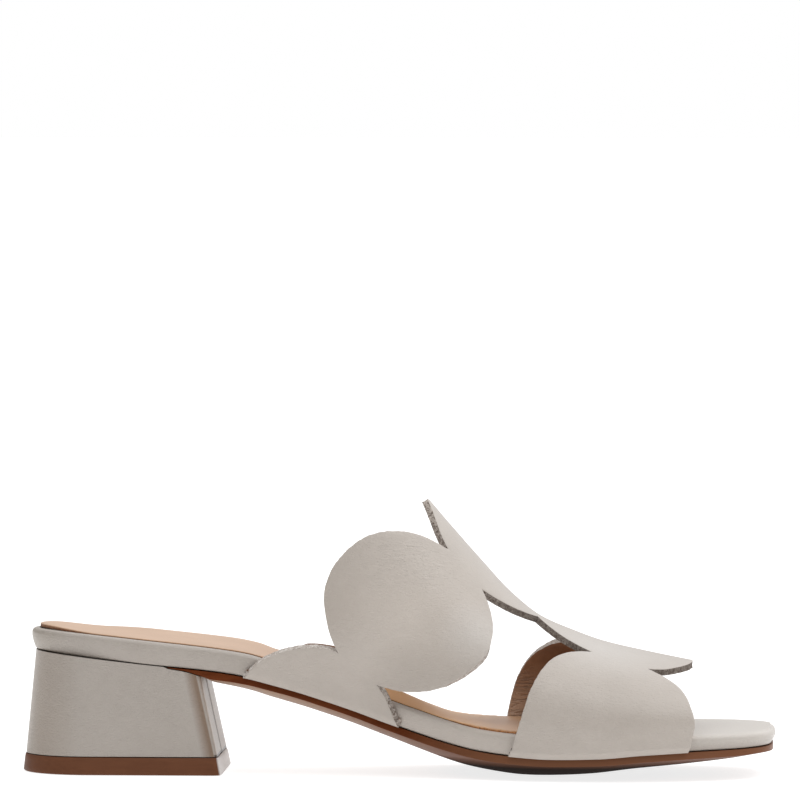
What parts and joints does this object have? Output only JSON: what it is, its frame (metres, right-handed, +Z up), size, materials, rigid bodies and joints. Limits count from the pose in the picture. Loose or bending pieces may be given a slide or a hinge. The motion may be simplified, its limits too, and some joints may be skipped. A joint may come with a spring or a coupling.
{
  "type": "slide sandal",
  "caption": "Left slide sandal: linked round leather discs form the upper on a wrapped footbed, thin crowned sole and low block heel.",
  "frame": {"origin": "middle of the shoe's footprint, on the ground", "axes": "+X from heel to toe, +Y to the outer (lateral) side of this left shoe, +Z up"},
  "size_m": [0.2506, 0.0902, 0.0905],
  "materials": {
    "leather": "smooth nappa with a fine grain, stone grey",
    "sock_leather": "smooth tan lining leather",
    "rubber": "satin brown sole"
  },
  "bodies": {
    "root": {"footbed": "leather", "sock": "sock_leather", "outsole": "rubber", "heel": "leather", "top_piece": "rubber", "upper": "leather"}
  },
  "joints": []
}
